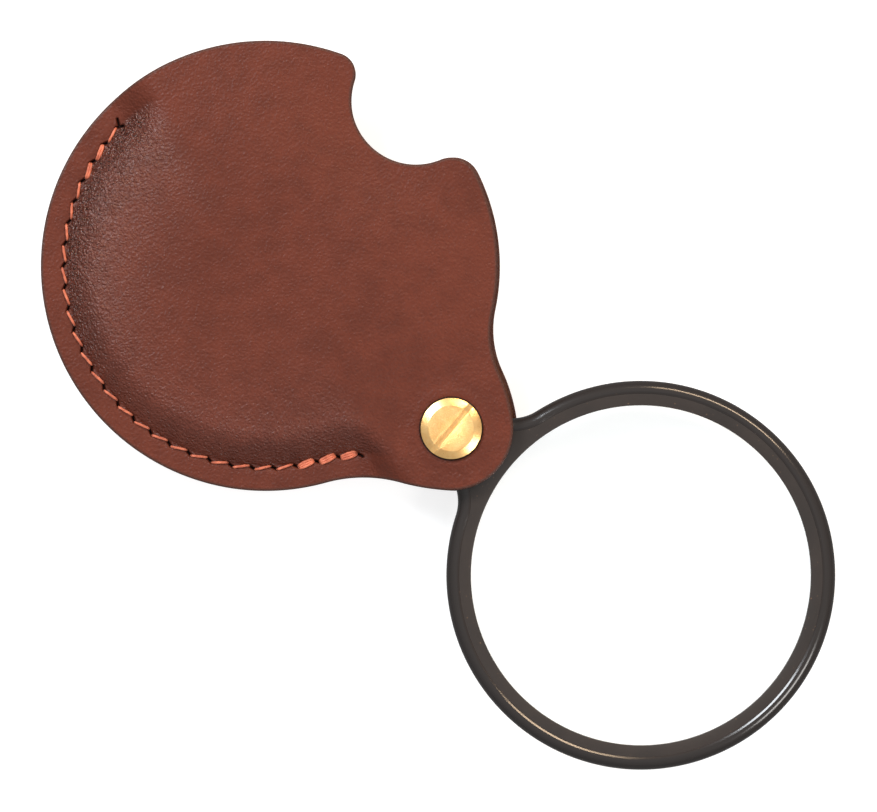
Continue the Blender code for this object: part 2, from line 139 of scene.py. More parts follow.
# Lens unit
FRAME_RADIUS = 0.02864
LUG_RADIUS = 0.0056
NECK_FILLET = 0.0065
APERTURE_RADIUS = 0.0250
SEAT_RADIUS = 0.02615
SEAT_HEIGHT = 0.0008
LENS_EDGE = 0.0012
RING_INNER = 0.0250
RING_OUTER = 0.02605
RING_TOP = -0.0008
RING_BOTTOM = -0.0020

# Pivot screw and barrel nut
HEAD_RADIUS = 0.0045
HEAD_FLAT_RADIUS = 0.00335
HEAD_BEVEL_DROP = 0.00045
SLOT_WIDTH = 0.0008
SLOT_DEPTH = 0.00055
SLOT_ANGLE = math.radians(50.0)
SLOT_CHAMFER = 0.00022
SLOT_CHAMFER_DROP = 0.000103
SHANK_RADIUS = 0.0015
SHANK_LENGTH = 0.0055
BARREL_RADIUS = 0.0025
BARREL_BORE = 0.00155
BARREL_BORE_DEPTH = 0.0069
BARREL_TIP_GAP = 0.0002
PIVOT_HOLE = 0.0026


# Numbers -----

FULL_TURN = 2.0 * math.pi


def mix(low, high, share):
    return low + (high - low) * share


def ease(value):
    """0 to 1 with a level start and end."""
    value = np.clip(value, 0.0, 1.0)
    return value * value * (3.0 - 2.0 * value)


def swell(value):
    """0 to 1 with a steep start and a level end, as a stuffed edge rises."""
    return np.sin(0.5 * math.pi * np.clip(value, 0.0, 1.0))


def bump(value):
    """1 at 0, falling off on both sides like a bell."""
    return np.exp(-(value**2))


def polar(radius, angle):
    return np.array((radius * math.cos(angle), radius * math.sin(angle)))


def lengths(vectors):
    return np.linalg.norm(vectors, axis=-1)


def unit(vectors):
    return vectors / lengths(vectors)[..., None]


def circle(centre, radius, steps):
    turns = np.arange(steps) * FULL_TURN / steps
    return centre + radius * np.column_stack((np.cos(turns), np.sin(turns)))


def leftward(ways):
    return np.stack((-ways[..., 1], ways[..., 0]), axis=-1)


def rotated(flat, angle):
    cos, sin = math.cos(angle), math.sin(angle)
    x, y = flat.T
    return np.column_stack((x * cos - y * sin, x * sin + y * cos))


def running(values):
    """Totals along a list, from 0."""
    return np.concatenate(([0], np.cumsum(values)))


def at_height(flat, height):
    return np.column_stack((flat, np.full(len(flat), height)))


def noise_at(flat, seed):
    """Smooth noise from about -1 to 1 at flat points."""
    return np.array([noise.noise(Vector(point)) for point in at_height(flat, seed).tolist()])


# Outlines -----


def towards(centre, other, radius):
    return centre + unit(other - centre) * radius


def circle_meet(first, first_radius, second, second_radius):
    """The crossing of two circles that lies to the right of the way from first to second."""
    way = second - first
    length = lengths(way)
    along = (first_radius**2 - second_radius**2 + length**2) / (2.0 * length)
    across = math.sqrt(first_radius**2 - along**2)
    return first + along * unit(way) - across * leftward(unit(way))


def chain(turns, step):
    """Points of a closed chain of tangent arcs, each (centre, radius, start, turn), 1 for anticlockwise."""
    points = []
    for i, (centre, radius, start, turn) in enumerate(turns):
        end = turns[(i + 1) % len(turns)][2]
        first = math.atan2(start[1] - centre[1], start[0] - centre[0])
        last = math.atan2(end[1] - centre[1], end[0] - centre[0])
        sweep = turn * ((turn * (last - first)) % FULL_TURN)
        count = max(2, math.ceil(abs(sweep) * radius / step))
        points += [centre + polar(radius, first + sweep * j / count) for j in range(count)]
    return np.array(points)


def lower_waist_centre(ear_centre, ear):
    lower = ear_centre + polar(ear - LOWER_SHOULDER, LOWER_SHOULDER_AT)
    return circle_meet(CASE_CENTRE, CASE_RADIUS + LOWER_WAIST, lower, LOWER_SHOULDER + LOWER_WAIST)


WAIST_CENTRE = lower_waist_centre(FRONT_PANEL["ear_centre"], FRONT_PANEL["ear"])


def case_outline(ear_centre, ear, flank):
    """One panel's outline, anticlockwise from the top of the notch: rim, lower waist, ear, flank, notch."""
    lower = ear_centre + polar(ear - LOWER_SHOULDER, LOWER_SHOULDER_AT)
    upper = ear_centre + polar(ear - FLANK_SHOULDER, FLANK_SHOULDER_AT)
    lower_waist = lower_waist_centre(ear_centre, ear)
    flank_waist = circle_meet(upper, FLANK_SHOULDER + FLANK_WAIST, FLANK_CENTRE, flank + FLANK_WAIST)
    flank_horn = circle_meet(FLANK_CENTRE, flank - FLANK_HORN, NOTCH_CENTRE, NOTCH_RADIUS + FLANK_HORN)
    notch_horn = circle_meet(NOTCH_CENTRE, NOTCH_RADIUS + NOTCH_HORN, CASE_CENTRE, CASE_RADIUS - NOTCH_HORN)
    turns = (
        (CASE_CENTRE, CASE_RADIUS, towards(CASE_CENTRE, notch_horn, CASE_RADIUS), 1),
        (lower_waist, LOWER_WAIST, towards(CASE_CENTRE, lower_waist, CASE_RADIUS), -1),
        (lower, LOWER_SHOULDER, towards(lower, lower_waist, LOWER_SHOULDER), 1),
        (ear_centre, ear, ear_centre + polar(ear, LOWER_SHOULDER_AT), 1),
        (upper, FLANK_SHOULDER, ear_centre + polar(ear, FLANK_SHOULDER_AT), 1),
        (flank_waist, FLANK_WAIST, towards(upper, flank_waist, FLANK_SHOULDER), -1),
        (FLANK_CENTRE, flank, towards(FLANK_CENTRE, flank_waist, flank), 1),
        (flank_horn, FLANK_HORN, towards(FLANK_CENTRE, flank_horn, flank), 1),
        (NOTCH_CENTRE, NOTCH_RADIUS, towards(NOTCH_CENTRE, flank_horn, NOTCH_RADIUS), -1),
        (notch_horn, NOTCH_HORN, towards(NOTCH_CENTRE, notch_horn, NOTCH_RADIUS), 1),
    )
    return chain(turns, OUTLINE_STEP)


def frame_outline(step):
    """Outline of the lens frame along its own axis: ring, neck fillet, lug and neck fillet."""
    ring = RING_CENTRE
    upper = circle_meet(ring, FRAME_RADIUS + NECK_FILLET, PIVOT, LUG_RADIUS + NECK_FILLET)
    lower = np.array((upper[0], -upper[1]))
    turns = (
        (ring, FRAME_RADIUS, towards(ring, lower, FRAME_RADIUS), 1),
        (upper, NECK_FILLET, towards(ring, upper, FRAME_RADIUS), -1),
        (PIVOT, LUG_RADIUS, towards(PIVOT, upper, LUG_RADIUS), 1),
        (lower, NECK_FILLET, towards(PIVOT, lower, LUG_RADIUS), -1),
    )
    return chain(turns, step)


def inward(points):
    """Unit vectors to the left of an anticlockwise outline's way, which point inwards."""
    way = unit(np.roll(points, -1, axis=0) - np.roll(points, 1, axis=0))
    return leftward(way)


def angle_about_case(points):
    return np.arctan2(points[:, 1] - CASE_CENTRE[1], points[:, 0] - CASE_CENTRE[0])


def panel_spokes(shape):
    """Outline points, closer together along the seam, with their inward normals."""
    dense = case_outline(**shape)
    angle = angle_about_case(dense) % FULL_TURN
    in_seam = (angle > SEAM_FROM - SEAM_ROOM) & (angle < SEAM_TO + SEAM_ROOM)
    steps = lengths(np.roll(dense, -1, axis=0) - dense) * np.where(in_seam, SEAM_DENSITY, 1.0)
    total = running(steps)
    at = np.interp(np.arange(SPOKES) * total[-1] / SPOKES, total, np.arange(len(dense) + 1))
    near = np.floor(at).astype(int)
    share = (at - near)[:, None]
    normals = inward(dense)
    edge = mix(dense[near % len(dense)], dense[(near + 1) % len(dense)], share)
    return edge, mix(normals[near % len(dense)], normals[(near + 1) % len(dense)], share)


# Dome of the case -----


def seam_weight(points, past=SEAM_PAST):
    """1 along the seam and past its ends, 0 along the free edges, with a short fade between."""
    angle = angle_about_case(points) % FULL_TURN
    upper = ease((angle - SEAM_FROM + past + SEAM_FADE_UPPER) / SEAM_FADE_UPPER)
    lower = ease((SEAM_TO + past + SEAM_FADE_LOWER - angle) / SEAM_FADE_LOWER)
    return upper * lower


def depth_inside(points):
    """Distance in from the round of the outline, and along the lower waist from the waist's own arc."""
    depth = CASE_RADIUS - lengths(points - CASE_CENTRE)
    from_waist = lengths(points - WAIST_CENTRE) - LOWER_WAIST
    angle = angle_about_case(points)
    past_round = math.atan2(*(WAIST_CENTRE - CASE_CENTRE)[::-1])
    along_waist = (angle > past_round) & (angle < WAIST_UNTIL + WAIST_FADE)
    blended = mix(from_waist, depth, ease((angle - WAIST_UNTIL) / WAIST_FADE))
    return np.where(along_waist, blended, depth)


def near_pivot(points):
    """1 where the panels lie flat under the screw heads, 0 past the ear."""
    return 1.0 - ease((lengths(points) - PIVOT_FLAT) / (PIVOT_BLEND - PIVOT_FLAT))


def dome_height(points, rise, shape):
    depth = depth_inside(points)
    past_notch = lengths(points - NOTCH_CENTRE) - NOTCH_RADIUS
    dome = swell(depth / DOME_REACH) * swell(past_notch / NOTCH_REACH)
    height = mix(LEATHER_AT_MOUTH, LEATHER_AT_CROWN, dome)
    pressed = mix(LEATHER_AT_SEAM, height, shape((depth - SEAM_FLANGE) / rise))
    height = mix(height, pressed, seam_weight(points))
    return mix(height, LEATHER_AT_PIVOT, near_pivot(points))


def inner_height(points):
    return dome_height(points, INNER_RISE, ease)


def outer_height(points):
    return dome_height(points, OUTER_RISE, swell) + LEATHER


# Seam line -----


def seam_line():
    """The line of needle holes on the front panel: points, and the length along it at each."""
    outline = case_outline(**FRONT_PANEL)
    inside = outline + SEAM_MARGIN * inward(outline)
    angle = angle_about_case(inside) % FULL_TURN
    line = inside[(angle >= SEAM_FROM) & (angle <= SEAM_TO)]
    steps = lengths(np.diff(line, axis=0))
    return line, running(steps)


SEAM_POINTS, SEAM_LENGTHS = seam_line()
SEAM_LENGTH = SEAM_LENGTHS[-1]
PITCH = SEAM_LENGTH / STITCHES
WAY_REACH = 0.0002


def seam_point(along):
    return np.column_stack([np.interp(along, SEAM_LENGTHS, SEAM_POINTS[:, i]) for i in (0, 1)])


def on_seam(along):
    """Points and ways at distances along the seam."""
    point = seam_point(along)
    return point, unit(seam_point(along + WAY_REACH) - seam_point(along - WAY_REACH))


SEAM_ZONE = 0.022
SEAM_BATCH = 4000


def seam_coordinates(points):
    """Distance along the seam from its upper end, and distance in from it, far from it cut short."""
    line, along = SEAM_POINTS[::4], SEAM_LENGTHS[::4]
    u = np.zeros(len(points))
    v = np.full(len(points), CASE_RADIUS)
    depth = depth_inside(points)
    near = np.nonzero(depth < SEAM_ZONE)[0]
    for start in range(0, len(near), SEAM_BATCH):
        rows = near[start : start + SEAM_BATCH]
        gap = lengths(points[rows, None, :] - line[None, :, :])
        best = gap.argmin(axis=1)
        u[rows] = along[best]
        v[rows] = depth[rows] - SEAM_MARGIN
    return u, v


# Meshes -----


def link(obj):
    bpy.context.scene.collection.objects.link(obj)
    return obj


def join_rings(first, second):
    """Faces between two rings of vertex numbers, one of which may have half as many, or be one point."""
    if len(first) < len(second):
        return [face[::-1] for face in join_rings(second, first)]
    a, a_next = first, np.roll(first, -1)
    if len(second) == 1:
        return [(int(p), int(q), int(second[0])) for p, q in zip(a, a_next)]
    b, b_next = second, np.roll(second, -1)
    if len(first) == len(second):
        return np.column_stack((a, a_next, b_next, b)).tolist()
    even, odd, after = a[0::2], a[1::2], np.roll(a[0::2], -1)
    corners = ((even, odd, b), (odd, b_next, b), (odd, after, b_next))
    return [face for triangles in corners for face in np.column_stack(triangles).tolist()]


def ring_faces(counts, first_vertex=0, closed=False):
    """Faces of rings of vertices that follow one another in the vertex list."""
    starts = running(counts) + first_vertex
    rings = [np.arange(starts[i], starts[i + 1]) for i in range(len(counts))]
    pairs = list(zip(rings, rings[1:])) + ([(rings[-1], rings[0])] if closed else [])
    return [face for pair in pairs for face in join_rings(*pair)]


def finish_mesh(obj, sharp=180.0):
    """Faces point out, and edges sharper than the angle are shown sharp."""
    bm = bmesh.new()
    bm.from_mesh(obj.data)
    bmesh.ops.recalc_face_normals(bm, faces=bm.faces)
    bm.to_mesh(obj.data)
    bm.free()
    obj.data.shade_smooth()
    if sharp < 180.0:
        obj.data.set_sharp_from_angle(angle=math.radians(sharp))
    return obj


def mesh_object(name, points, faces, material, values=None):
    mesh = bpy.data.meshes.new(name)
    mesh.from_pydata(np.asarray(points).tolist(), [], faces)
    for key, numbers in (values or {}).items():
        layer = mesh.attributes.new(key, "FLOAT", "POINT")
        layer.data.foreach_set("value", np.asarray(numbers, np.float32))
    mesh.materials.append(material)
    return link(bpy.data.objects.new(name, mesh))


def turned(name, profile, steps, material, sharp=40.0):
    """A closed profile of (radius, height), given from the axis out and back or as a loop, turned about Z."""
    rings = [at_height(circle(PIVOT, radius, steps if radius else 1), height) for radius, height in profile]
    faces = ring_faces([len(ring) for ring in rings], closed=profile[0][0] > 0.0)
    return finish_mesh(mesh_object(name, np.concatenate(rings), faces, material), sharp)


def rounded(profile, radii, steps=3):
    """A profile with its corners replaced by arcs; radii match the corners, 0 keeps one sharp."""
    points = [np.array(p, float) for p in profile]
    made = []
    for i, point in enumerate(points):
        if not radii[i]:
            made.append(tuple(point))
            continue
        before, after = unit(points[i - 1] - point), unit(points[(i + 1) % len(points)] - point)
        half = 0.5 * math.acos(float(np.clip(before @ after, -1.0, 1.0)))
        reach = radii[i] / math.tan(half)
        middle = unit(before + after)
        centre = point + middle * radii[i] / math.sin(half)
        start, end = point + before * reach - centre, point + after * reach - centre
        span = math.acos(float(np.clip(start @ end / radii[i] ** 2, -1.0, 1.0)))
        for j in range(steps + 1):
            t = j / steps
            spot = centre + (math.sin((1.0 - t) * span) * start + math.sin(t * span) * end) / math.sin(span)
            made.append(tuple(spot))
    return made


def applied(obj):
    """Makes the object's modifiers part of its mesh."""
    graph = bpy.context.evaluated_depsgraph_get()
    mesh = bpy.data.meshes.new_from_object(obj.evaluated_get(graph))
    obj.modifiers.clear()
    obj.data = mesh


# Materials -----


class Nodes:
    """A material's node tree with short calls to add and join nodes."""

    def __init__(self, name):
        self.material = bpy.data.materials.new(name)
        self.material.use_nodes = True
        self.tree = self.material.node_tree
        self.shader = self.tree.nodes["Principled BSDF"]
        self.output = self.tree.nodes["Material Output"]
        self.place = self.add("ShaderNodeTexCoord").outputs["Object"]

    def add(self, kind, **settings):
        node = self.tree.nodes.new(kind)
        for key, value in settings.items():
            setattr(node, key, value)
        return node

    def set(self, **values):
        """Values for the shader's own sockets, with _ for a space."""
        for key, value in values.items():
            self.wire(self.shader.inputs[key.replace("_", " ")], value)

    def wire(self, socket, value):
        if isinstance(value, (int, float)):
            socket.default_value = value
        elif isinstance(value, tuple):
            socket.default_value = (*value, 1.0)
        else:
            self.tree.links.new(value, socket)

    def math(self, operation, *values):
        node = self.add("ShaderNodeMath", operation=operation)
        for socket, value in zip(node.inputs, values):
            self.wire(socket, value)
        return node.outputs[0]

    def texture(self, kind, size, values, **settings):
        """A texture node whose cell or wave measures size, which may be one number or three."""
        node, mapping = self.add(kind, **settings), self.add("ShaderNodeMapping")
        sizes = size if hasattr(size, "__len__") else (size,) * 3
        mapping.inputs["Scale"].default_value = [1.0 / length for length in sizes]
        self.wire(mapping.inputs["Vector"], self.place)
        self.wire(node.inputs["Vector"], mapping.outputs[0])
        for key, value in (("Scale", 1.0), *values):
            node.inputs[key].default_value = value
        return node

    def noise(self, size, detail=2.0, roughness=0.5, distortion=0.0):
        values = (("Detail", detail), ("Roughness", roughness), ("Distortion", distortion))
        return self.texture("ShaderNodeTexNoise", size, values).outputs["Fac"]

    def cells(self, size, feature="F1", output="Distance"):
        return self.texture("ShaderNodeTexVoronoi", size, (), feature=feature).outputs[output]

    def times(self, first, second):
        return self.math("MULTIPLY", first, second)

    def line(self, value, slope, base):
        return self.math("MULTIPLY_ADD", value, slope, base)

    def ramp(self, value, low, high, to_low=0.0, to_high=1.0):
        node = self.add("ShaderNodeMapRange", interpolation_type="SMOOTHSTEP")
        for socket, number in zip(node.inputs, (value, low, high, to_low, to_high)):
            self.wire(socket, number)
        return node.outputs["Result"]

    def blend(self, share, first, second):
        node = self.add("ShaderNodeMix", data_type="RGBA")
        for key, value in (("Factor", share), (6, first), (7, second)):
            self.wire(node.inputs[key], value)
        return node.outputs[2]

    def value(self, name):
        return self.add("ShaderNodeAttribute", attribute_name=name).outputs["Fac"]

    def bumps(self, *layers):
        """Chained bump nodes, each (height, strength, distance)."""
        normal = None
        for layer in layers:
            node = self.add("ShaderNodeBump")
            for key, value in zip(("Height", "Strength", "Distance"), layer):
                self.wire(node.inputs[key], value)
            if normal is not None:
                self.wire(node.inputs["Normal"], normal)
            normal = node.outputs[0]
        self.set(Normal=normal)

    def radius(self):
        """Distance from the pivot axis."""
        split = self.add("ShaderNodeSeparateXYZ")
        self.wire(split.inputs[0], self.place)
        squares = [self.math("POWER", split.outputs[i], 2.0) for i in (0, 1)]
        return self.math("SQRT", self.math("ADD", *squares))

    def see_through(self, share, colour=(1.0, 1.0, 1.0)):
        """Mixes the shader with a clear one."""
        clear, mixer = self.add("ShaderNodeBsdfTransparent"), self.add("ShaderNodeMixShader")
        self.wire(clear.inputs["Color"], colour)
        for socket, value in zip(mixer.inputs, (share, self.shader.outputs[0], clear.outputs[0])):
            self.wire(socket, value)
        self.wire(self.output.inputs["Surface"], mixer.outputs[0])


TURNING_MARKS = 0.00013
PEBBLE = 0.00042
FOLD = 0.00052
PORE = 0.00020
HEAD_SHADOW = (0.00448, 0.00452, 0.00462, 0.00482)


def leather_material():
    """Smooth pebbled calf leather with burnished edges, painted shade in its creases and slits, and a painted
    shadow ring round the screw head.
    """
    n = Nodes("brown_leather")
    crease, slit, edge = n.value("crease"), n.value("slit"), n.value("edge")
    pebble = n.cells(PEBBLE, "SMOOTH_F1")
    folds = n.cells(FOLD, "DISTANCE_TO_EDGE")
    pores = n.noise(PORE, 3.0, 0.6)
    mottle = n.noise(0.0035, 4.0, 0.6)
    drift = n.noise(0.018, 2.0)
    tone = n.math("ADD", n.times(mottle, 0.55), n.times(drift, 0.45))
    base = n.blend(n.ramp(tone, 0.35, 0.65), (0.091, 0.0190, 0.0094), (0.120, 0.0256, 0.0127))
    open_pore = n.times(n.ramp(pores, 0.35, 0.60, 1.0, 0.0), 0.30)
    worked = n.blend(open_pore, base, (0.060, 0.016, 0.010))
    # Painted shade: the crevices between the pebbles near the seam are darkened in the colour.
    crevice_shade = n.times(n.ramp(folds, 0.0, 0.16, 1.0, 0.0), n.times(crease, 0.25))
    shaded = n.blend(crevice_shade, worked, (0.050, 0.013, 0.008))
    edged = n.blend(edge, shaded, (0.070, 0.026, 0.018))
    radius = n.radius()
    # Painted shadow: a thin dark ring in the leather's colour just round the screw head.
    head_shadow_ring = n.times(n.ramp(radius, *HEAD_SHADOW[:2]), n.ramp(radius, *HEAD_SHADOW[2:], 1.0, 0.0))
    head_shaded = n.blend(head_shadow_ring, edged, (0.010, 0.005, 0.004))
    # Painted shade: the slits are coloured near black, as shade inside the holes.
    n.set(Base_Color=n.blend(slit, head_shaded, (0.004, 0.003, 0.003)))
    rough = n.line(crease, -0.12, n.ramp(pebble, 0.2, 0.9, 0.42, 0.54))
    n.set(Roughness=n.line(edge, -0.06, rough))
    n.set(Specular_IOR_Level=n.line(crease, 0.66, 0.21))
    grain = n.math("ADD", n.times(pebble, -1.0), n.times(pores, 0.22))
    n.bumps(
        (n.ramp(folds, 0.0, 0.30), n.line(crease, 0.86, 0.14), 0.00026),
        (grain, n.line(crease, 0.72, 0.28), 0.00042),
    )
    return n.material


def suede_material():
    """Short brown nap."""
    n = Nodes("suede")
    nap = n.noise((0.00016, 0.00016, 0.0003), 4.0, 0.7)
    stroke = n.noise(0.006, 3.0, 0.6, 0.8)
    n.set(Base_Color=n.blend(n.ramp(stroke, 0.35, 0.65), (0.105, 0.044, 0.027), (0.160, 0.072, 0.045)))
    n.set(Roughness=0.95, Sheen_Weight=0.08, Sheen_Roughness=0.5, Specular_IOR_Level=0.05)
    n.bumps((nap, 0.8, 0.00012))
    return n.material


def thread_material():
    """Waxed orange-brown thread with fine fibres along its plies."""
    n = Nodes("brown_thread")
    fibre = n.noise(0.00006, 3.0, 0.6)
    tint = n.noise(0.0009, 2.0)
    n.set(Base_Color=n.blend(n.ramp(tint, 0.3, 0.7), (0.42, 0.098, 0.050), (0.62, 0.170, 0.088)))
    n.set(Roughness=0.48, Sheen_Weight=0.2, Sheen_Roughness=0.3, Specular_IOR_Level=0.4)
    n.bumps((fibre, 0.35, 0.00003))
    return n.material


def brass_material():
    """Satin brass with turning marks and a fine grain."""
    n = Nodes("brass")
    radius = n.radius()
    grain = n.noise(0.00022, 4.0, 0.65)
    cloud = n.noise(0.0013, 3.0, 0.6)
    rings = n.math("SINE", n.times(radius, FULL_TURN / TURNING_MARKS))
    flat = n.ramp(radius, HEAD_FLAT_RADIUS - 0.0001, HEAD_FLAT_RADIUS, 1.0, 0.0)
    n.set(Base_Color=n.blend(n.ramp(cloud, 0.3, 0.7), (0.93, 0.53, 0.190), (0.98, 0.63, 0.262)))
    n.set(Roughness=n.line(flat, 0.10, n.ramp(grain, 0.3, 0.7, 0.27, 0.35)))
    n.set(Metallic=1.0)
    n.bumps(
        (rings, 0.10, 0.00002),
        (grain, n.line(flat, 0.70, 0.03), 0.00008),
    )
    return n.material


BEAD_ROUGHNESS = 0.17


def frame_material():
    """Dark brown moulding, satin with painted bronze glints on its band and glossy on its bead."""
    n = Nodes("dark_plastic")
    # Painted glints: light bronze specks scattered through the band's colour, not on the bead.
    glint_cells = n.cells(0.00016, output="Color")
    painted_glints = n.ramp(glint_cells, 0.92, 0.99)
    drift = n.noise(0.007, 2.0)
    bead = n.value("bead")
    base = n.blend(n.ramp(drift, 0.3, 0.7), (0.0175, 0.0124, 0.0102), (0.0235, 0.0164, 0.0131))
    toned = n.blend(bead, base, (0.0190, 0.0150, 0.0135))
    n.set(Base_Color=n.blend(n.times(painted_glints, n.math("SUBTRACT", 1.0, bead)), toned, (0.110, 0.064, 0.036)))
    grain = n.noise(0.00018, 3.0, 0.6)
    satin = n.ramp(grain, 0.3, 0.7, 0.34, 0.46)
    gloss = n.ramp(bead, 0.0, 0.25)
    n.set(Roughness=n.math("ADD", n.times(satin, n.math("SUBTRACT", 1.0, gloss)),
                       n.times(gloss, BEAD_ROUGHNESS)))
    n.bumps((grain, n.line(bead, -0.16, 0.20), 0.00004))
    return n.material


def glass_material():
    """Clear crown glass that lets the lamps shine through."""
    n = Nodes("clear_glass")
    smear = n.noise(0.004, 3.0, 0.6)
    n.set(Roughness=n.ramp(smear, 0.45, 0.8, 0.0, 0.02))
    n.set(Base_Color=(0.985, 0.995, 0.992), IOR=1.52, Transmission_Weight=1.0)
    path = n.add("ShaderNodeLightPath")
    soft = n.math("MAXIMUM", path.outputs["Is Shadow Ray"], path.outputs["Is Diffuse Ray"])
    n.see_through(soft, (0.97, 0.98, 0.98))
    return n.material


def nylon_material():
    """Milky turned nylon."""
    n = Nodes("nylon")
    cloud = n.noise(0.002, 3.0)
    n.set(Base_Color=n.blend(cloud, (0.62, 0.60, 0.55), (0.74, 0.72, 0.67)))
    n.set(Roughness=n.ramp(cloud, 0.3, 0.7, 0.42, 0.55))
    n.set(Subsurface_Weight=0.1, Subsurface_Scale=0.001)
    return n.material


# Case -----


def panel_rings():
    """Rings of a panel from the outer face's middle, over the edge, to the inner face's middle.

    Each is (spokes, inset from the edge, share of the way left to the middle, face, drop); face is 1 on
    the outer face and 0 on the inner one.
    """
    outer = [(1, 1.0), (5, 0.985), (10, 0.97), (20, 0.94), (40, 0.89), (80, 0.82), (80, 0.74)]
    outer += [(160, share) for share in np.linspace(0.66, 0.42, 7)]
    outer += [(320, share) for share in np.linspace(0.39, 0.21, 10)]
    outer += [(640, share) for share in np.linspace(0.19, 0.02, 12)]
    insets = np.concatenate((
        np.linspace(0.0080, 0.0050, 13),
        np.arange(0.00482, 0.0024, -0.0001),
        np.linspace(0.0023, 0.0005, 9),
    ))
    rings = [(spokes, insets[0], share, 1.0, 0.0) for spokes, share in outer]
    rings += [(SPOKES, inset, 0.0, 1.0, 0.0) for inset in insets]
    for turn in np.linspace(0.0, 0.5 * math.pi, ROUND_STEPS + 1):
        inset, drop = OUTER_ROUND * (1.0 - math.sin(turn)), OUTER_ROUND * (1.0 - math.cos(turn))
        rings.append((SPOKES, inset, 0.0, 1.0, drop))
    rings += [(SPOKES, 0.0, 0.0, share, 0.0) for share in (0.60, 0.45, 0.30)]
    for turn in np.linspace(0.0, 0.5 * math.pi, ROUND_STEPS + 1):
        inset, drop = INNER_ROUND * (1.0 - math.cos(turn)), INNER_ROUND * (math.sin(turn) - 1.0)
        rings.append((SPOKES, inset, 0.0, 0.0, drop))
    rings += [(SPOKES // 2, inset, 0.0, 0.0, 0.0) for inset in (0.0006, 0.0012, 0.0020, 0.0030, 0.0040)]
    rings += [(SPOKES // 4, inset, 0.0, 0.0, 0.0) for inset in (0.0046, 0.0052, 0.0060, 0.0070, 0.0080)]
    inner = [(160, share) for share in (0.06, 0.12, 0.20, 0.30, 0.42)]
    inner += [(80, 0.55), (40, 0.7), (20, 0.82), (10, 0.92), (5, 0.97), (1, 1.0)]
    return rings + [(spokes, insets[0], share, 0.0, 0.0) for spokes, share in inner]


def every(count):
    """Numbers of equally spread spokes."""
    return np.arange(0, SPOKES, SPOKES // count)


def ring_points(edge, normal, rings):
    """The flat places of the rings' vertices, one ring after another."""
    spoke = unit(CASE_CENTRE - edge)
    places = []
    for count, inset, share, *_ in rings:
        pick = every(count)
        place = edge[pick] + normal[pick] * min(inset, NORMAL_INSET)
        place += spoke[pick] * max(inset - NORMAL_INSET, 0.0)
        places.append(mix(place, CASE_CENTRE, share))
    return np.concatenate(places)


SPARE_SLIT_REACH = 0.0007


def slit_marks():
    """Awl slits through the seam, with a stray one at its upper end: centres and ways."""
    holes, ways = on_seam(np.arange(STITCHES + 1) * PITCH)
    slant = rotated(ways, -SLIT_LEAN)
    spare = leftward(slant[0])
    return np.vstack((holes, holes[0] - SPARE_SLIT_REACH * spare)), np.vstack((slant, spare))


SLIT_POINTS, SLIT_WAYS = slit_marks()
SLIT_HALF = 0.00068
SLIT_HALF_WIDTH = 0.00016
SLIT_FADE = 0.0002
SLIT_SINK = 0.0008
LIP_HEIGHT = 0.00005
LIP_AT = 0.00032
LIP_WIDTH = 0.00016


def slits_at(points):
    """How far each point is in a slit, and how far on a slit's raised lip, both from 0 to 1."""
    sunk, lip = np.zeros((2, len(points)))
    for centre, way in zip(SLIT_POINTS, SLIT_WAYS):
        offset = points - centre
        along = offset @ way
        across = offset @ leftward(way)
        ends = ease((SLIT_HALF + 0.5 * SLIT_FADE - np.abs(along)) / SLIT_FADE)
        sunk = np.maximum(sunk, ends * bump(across / SLIT_HALF_WIDTH))
        lip = np.maximum(lip, ends * bump((np.abs(across) - LIP_AT) / LIP_WIDTH))
    return sunk, lip


STITCH_GROOVE = 0.00014
STITCH_PULL = 0.00005
GROOVE_WIDTH = 0.00050
CREASE_DEPTH = 0.00013
PUCKER_DEPTH = 0.00007
CREASE_FROM = 0.0002
CREASE_PEAK = 0.0010
CREASE_TAIL = 0.0022
SEWN_FADE = 0.0008
UPPER_UNTIL = 0.045
UPPER_FADE = 0.030
LOWER_SHARE = 0.35
WRINKLE_LENGTH = 0.00085
WRINKLE_WIDTH = 0.0016
SWAY = 0.00006
SWAY_LENGTH = 0.009
GRAIN_FROM = -0.0003
GRAIN_RISE = 0.0010
GRAIN_PEAK = 0.0015
GRAIN_FADE = 0.0048
HEAD_BULGE = 0.00012
HEAD_BULGE_AT = 0.0053
HEAD_BULGE_WIDTH = 0.0007


